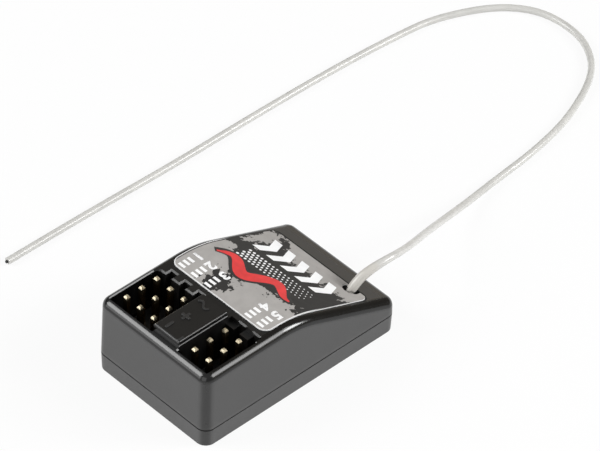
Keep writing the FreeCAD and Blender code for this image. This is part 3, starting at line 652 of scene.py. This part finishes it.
def makeSleeve(route):
    curve = bpy.data.curves.new("aerialSleeve", "CURVE")
    curve.dimensions = "3D"
    spline = curve.splines.new("NURBS")
    spline.points.add(len(route) - 1)
    for point, place in zip(spline.points, route):
        point.co = (*place, 1.0)
    for point, share in zip(spline.points, aerial["exitShare"]):
        point.radius = share
    spline.order_u = 3
    spline.use_endpoint_u = True
    spline.resolution_u = aerial["curveSteps"]
    curve.bevel_depth = aerial["diameter"] / 2
    curve.bevel_resolution = aerial["bevelSteps"]
    curve.use_fill_caps = True
    curve.materials.append(wireSleeve)
    piece = bpy.data.objects.new("aerialSleeve", curve)
    bpy.context.collection.objects.link(piece)
    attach(piece, "root")
    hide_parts("aerial_wire")
    return piece


def makeCore(tip, before):
    out = (tip - before).normalized()
    mesh = bmesh.new()
    bmesh.ops.create_cone(mesh, cap_ends=True, segments=aerial["coreSides"], radius1=aerial["core"] / 2,
                          radius2=aerial["core"] / 2, depth=aerial["coreOut"] * 2)
    bmesh.ops.bevel(mesh, geom=mesh.edges[:], offset=aerial["core"] * aerial["coreBevel"],
                    offset_type="OFFSET", segments=1, profile=0.5, affect="EDGES", material=-1)
    bmesh.ops.transform(mesh, verts=mesh.verts[:],
                        matrix=Matrix.Translation(tip) @ out.to_track_quat("Z", "Y").to_matrix().to_4x4())
    return makePiece("aerialCore", mesh, darkInk)


def makeAerial():
    route = [Vector(point) * mm for point in aerial["route"]]
    piece = makeSleeve(route)
    core = makeCore(route[-1], route[-2])


makeAerial()
print("aerial laid")


# floor and world. The floor's size and drop are in metres, and spans are shares of the world's own axes
stage = {
    "floor": 3.0, "floorDrop": 0.00002, "floorColor": 0.86, "floorRoughness": 0.9, "floorGlow": 0.9,
    "ambient": 0.24, "nearWall": 0.46, "farWall": 0.68, "wallSpan": (-0.3, 0.3),
    "farCorner": 0.3, "cornerSpan": (0.6, 0.85), "gap": 0.4, "gapSpans": ((0.55, 0.75), (0.42, 0.12)),
    "portEndRoof": 0.52, "aerialEndRoof": 0.27, "roofSpan": (0.0, 0.45), "roofHeight": (0.35, 0.7),
    "warm": (1.06, 0.97, 0.84, 1.0), "warmFrom": (0.1, 0.6)}


def makeFloor():
    mesh = bmesh.new()
    bmesh.ops.create_grid(mesh, x_segments=1, y_segments=1, size=stage["floor"])
    bmesh.ops.translate(mesh, verts=mesh.verts[:], vec=(0, 0, -stage["floorDrop"]))
    data = bpy.data.meshes.new("floor")
    mesh.to_mesh(data)
    mesh.free()
    floor = bpy.data.objects.new("floor", data)
    bpy.context.collection.objects.link(floor)
    material, tree, shader = newMaterial("paleFloor")
    shader.inputs["Base Color"].default_value = grey(stage["floorColor"])
    shader.inputs["Roughness"].default_value = stage["floorRoughness"]
    shader.inputs["Specular IOR Level"].default_value = 0.0
    # white to the camera and in reflections, with the object's shadow kept
    rays = addNode(tree, "ShaderNodeLightPath").outputs
    seen = addMath(tree, "MAXIMUM", rays["Is Camera Ray"], rays["Is Glossy Ray"])
    seen = addMath(tree, "MAXIMUM", seen, rays["Is Transmission Ray"])
    share = addProduct(tree, seen, stage["floorGlow"])
    glow = addNode(tree, "ShaderNodeEmission", {"Color": grey(1.0), "Strength": 1.0})
    mix = addNode(tree, "ShaderNodeMixShader", {0: share, 1: shader.outputs[0], 2: glow.outputs[0]})
    tree.links.new(mix.outputs[0], tree.nodes["Material Output"].inputs["Surface"])
    data.materials.append(material)


def makeWorld():
    world = bpy.data.worlds.new("studio")
    world.use_nodes = True
    bpy.context.scene.world = world
    tree = world.node_tree
    ground = tree.nodes["Background"]
    axes = splitAxes(tree, addNode(tree, "ShaderNodeTexCoord").outputs["Generated"])
    # the walls are darker on the near side and in the far corner, and darkest beside the aerial end
    walls = addRange(tree, axes["Y"], *stage["wallSpan"], stage["nearWall"], stage["farWall"])
    walls = addProduct(tree, walls, addRange(tree, axes["Y"], *stage["cornerSpan"], 1.0, stage["farCorner"]))
    gap = addProduct(tree, addRange(tree, axes["X"], *stage["gapSpans"][0]),
                     addRange(tree, axes["Y"], *stage["gapSpans"][1]))
    walls = addProduct(tree, walls, addRange(tree, gap, 0.0, 1.0, 1.0, stage["gap"]))
    roofs = addRange(tree, axes["X"], *stage["roofSpan"], stage["portEndRoof"], stage["aerialEndRoof"])
    high = addRange(tree, axes["Z"], *stage["roofHeight"])
    studio = addMath(tree, "ADD", addProduct(tree, roofs, high),
                     addProduct(tree, walls, addMath(tree, "SUBTRACT", 1.0, high)))
    # reflections show the studio, the camera sees white, and the rest is lit evenly
    rays = addNode(tree, "ShaderNodeLightPath").outputs
    isGlossy = rays["Is Glossy Ray"]
    shown = addMath(tree, "ADD", addProduct(tree, studio, isGlossy),
                    addProduct(tree, stage["ambient"], addMath(tree, "SUBTRACT", 1.0, isGlossy)))
    shown = addMath(tree, "MAXIMUM", shown, rays["Is Camera Ray"])
    tree.links.new(shown, ground.inputs["Strength"])
    warm = addProduct(tree, isGlossy, addRange(tree, axes["X"], *stage["warmFrom"]))
    tree.links.new(addMix(tree, warm, grey(1.0), stage["warm"]), ground.inputs["Color"])


# lamps: square lights that face the case from a direction, at a distance and of a size in metres
lamps = {
    "portEnd": {"from": (-0.61, 0.52, 0.6), "distance": 0.62, "size": 0.3, "power": 2.3},
    "portEndLow": {"from": (-0.83, 0.5, 0.24), "distance": 0.62, "size": 0.28, "power": 0.5},
    "nearSide": {"from": (0.5, -0.66, 0.56), "distance": 0.62, "size": 0.3, "power": 2.0},
    "nearSpot": {"from": (0.66, -0.61, 0.45), "distance": 0.62, "size": 0.15, "power": 1.3},
    "portEndFill": {"from": (-0.88, -0.3, 0.37), "distance": 0.7, "size": 0.5, "power": 1.0}}


def makeLamps():
    for name, lamp in lamps.items():
        data = bpy.data.lights.new(name, "AREA")
        data.energy = lamp["power"]
        data.size = lamp["size"]
        item = bpy.data.objects.new(name, data)
        bpy.context.collection.objects.link(item)
        away = Vector(lamp["from"]).normalized()
        item.location = away * lamp["distance"]
        item.rotation_euler = (-away).to_track_quat("-Z", "Y").to_euler()


makeFloor()
makeWorld()
makeLamps()
bpy.context.scene.view_settings.view_transform = "Standard"
print("stage lit")
